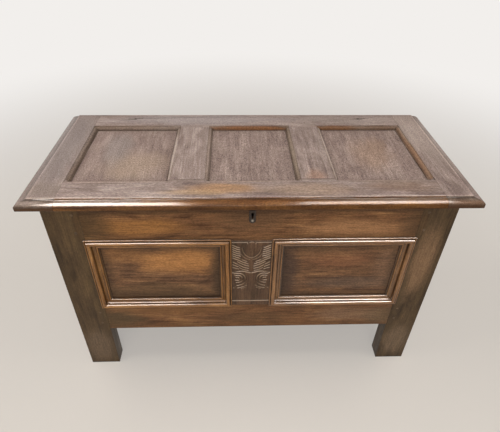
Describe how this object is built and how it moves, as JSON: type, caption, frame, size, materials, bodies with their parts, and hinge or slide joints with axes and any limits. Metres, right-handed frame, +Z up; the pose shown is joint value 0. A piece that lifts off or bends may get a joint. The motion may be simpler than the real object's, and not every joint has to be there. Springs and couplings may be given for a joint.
{
  "type": "coffer chest",
  "caption": "Joined oak coffer on square feet: moulded two-panel front with a carved muntin and lock, panelled back and ends, and a panelled lid on iron staple hinges",
  "frame": {"origin": "on the floor, under the middle of the lid in plan", "axes": "+X to the viewer's right along the front, -Y out of the front, +Z up"},
  "size_m": [1.28, 0.552, 0.758],
  "materials": {
    "oak": "waxed oak, warm mid brown, worn satin with dark growth lines",
    "oak_dark": "waxed oak, dark olive brown, worn satin",
    "oak_lid": "bleached grey-brown oak with an old polish, scratched and spotted",
    "oak_inside": "dry unpolished oak",
    "iron": "forged iron, dark brown patina"
  },
  "bodies": {
    "root": {"back_bottom_rail": "oak_dark", "back_centre_panel": "oak_dark", "back_left_panel": "oak_dark", "back_left_post": "oak_dark", "back_muntin_1": "oak_dark", "back_muntin_2": "oak_dark", "back_right_panel": "oak_dark", "back_right_post": "oak_dark", "back_top_rail": "oak_dark", "escutcheon": "iron", "floor_back_batten": "oak_inside", "floor_board_1": "oak_inside", "floor_board_2": "oak_inside", "floor_board_3": "oak_inside", "floor_board_4": "oak_inside", "floor_board_5": "oak_inside", "floor_front_batten": "oak_inside", "front_bottom_rail": "oak_dark", "front_left_panel": "oak", "front_left_post": "oak_dark", "front_muntin": "oak", "front_right_panel": "oak", "front_right_post": "oak_dark", "front_top_rail": "oak", "left_end_bottom_rail": "oak", "left_end_panel": "oak", "left_end_top_rail": "oak", "left_hinge_carcass_staple": "iron", "left_moulding_bottom": "oak", "left_moulding_left": "oak", "left_moulding_right": "oak", "left_moulding_top": "oak", "lock_case": "iron", "right_end_bottom_rail": "oak", "right_end_panel": "oak", "right_end_top_rail": "oak", "right_hinge_carcass_staple": "iron", "right_moulding_bottom": "oak", "right_moulding_left": "oak", "right_moulding_right": "oak", "right_moulding_top": "oak"},
    "lid": {"left_hinge_lid_staple": "iron", "lid_back_rail": "oak_lid", "lid_centre_panel": "oak_lid", "lid_front_rail": "oak_lid", "lid_left_muntin": "oak_lid", "lid_left_panel": "oak_lid", "lid_left_stile": "oak_lid", "lid_lock_staple": "iron", "lid_right_muntin": "oak_lid", "lid_right_panel": "oak_lid", "lid_right_stile": "oak_lid", "right_hinge_lid_staple": "iron"},
    "lock_bolt": {"lock_bolt": "iron"}
  },
  "joints": [
    {"name": "lid_hinge", "type": "hinge", "parent": "root", "child": "lid", "pos_m": [0, 0.268, 0.732], "axis": [-1, 0, 0], "range_deg": [0, 115]},
    {"name": "lock_bolt_slide", "type": "slide", "parent": "root", "child": "lock_bolt", "axis": [-1, 0, 0], "range_m": [0, 0.014]}
  ]
}
